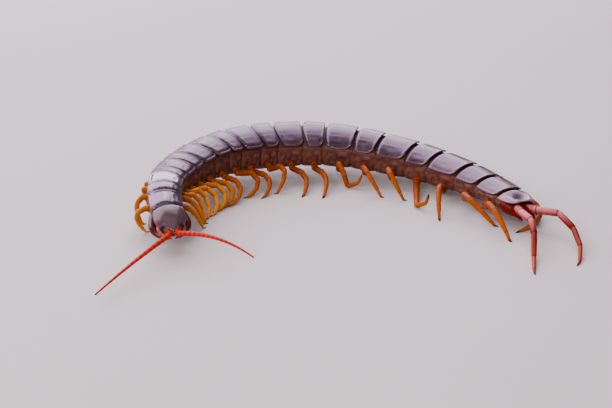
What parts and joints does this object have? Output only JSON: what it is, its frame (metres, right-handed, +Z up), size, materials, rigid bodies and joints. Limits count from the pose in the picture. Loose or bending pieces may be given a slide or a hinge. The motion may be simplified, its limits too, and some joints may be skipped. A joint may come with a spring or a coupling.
{
  "type": "giant centipede model",
  "caption": "Life-size giant centipede standing on its legs with its long plated body bent into an arc and its feelers spread.",
  "frame": {"origin": "middle of the bounding box on the floor plane that the feet stand on", "axes": "+X from the head's side of the arc to the tail's side, +Y away from the side that the head faces, +Z up"},
  "size_m": [0.1293, 0.1289, 0.0154],
  "materials": {
    "back_plates": "glossy dark plum-brown shell",
    "head_shell": "glossy dark plum-brown shell",
    "legs": "semi-gloss orange-brown shell, paler at the tips",
    "last_legs": "semi-gloss red-orange shell",
    "feelers": "satin bright red",
    "venom_claws": "glossy deep maroon with black tips",
    "eyes": "glossy black",
    "mouth": "satin orange-brown"
  },
  "bodies": {
    "root": {"head": "head_shell", "mouthparts": "mouth", "eyes_left": "eyes", "eyes_right": "eyes", "antenna_left": "feelers", "antenna_right": "feelers", "forcipule_left": "venom_claws", "forcipule_right": "venom_claws", "trunk_1": "back_plates", "trunk_2": "back_plates", "trunk_3": "back_plates", "trunk_4": "back_plates", "trunk_5": "back_plates", "trunk_6": "back_plates", "trunk_7": "back_plates", "leg_left_01": "legs", "leg_left_02": "legs", "leg_left_03": "legs", "leg_left_04": "legs", "leg_left_05": "legs", "leg_left_06": "legs", "leg_left_07": "legs", "leg_left_08": "legs", "leg_left_09": "legs", "leg_left_10": "legs", "leg_left_11": "legs", "leg_left_12": "legs", "leg_left_13": "legs", "leg_left_14": "legs", "leg_left_15": "legs", "leg_left_16": "legs", "leg_left_17": "legs", "leg_left_18": "legs", "leg_left_19": "legs", "leg_left_20": "legs", "leg_left_21": "last_legs", "leg_right_01": "legs", "leg_right_02": "legs", "leg_right_03": "legs", "leg_right_04": "legs", "leg_right_05": "legs", "leg_right_06": "legs", "leg_right_07": "legs", "leg_right_08": "legs", "leg_right_09": "legs", "leg_right_10": "legs", "leg_right_11": "legs", "leg_right_12": "legs", "leg_right_13": "legs", "leg_right_14": "legs", "leg_right_15": "legs", "leg_right_16": "legs", "leg_right_17": "legs", "leg_right_18": "legs", "leg_right_19": "legs", "leg_right_20": "legs", "leg_right_21": "last_legs"}
  },
  "joints": []
}
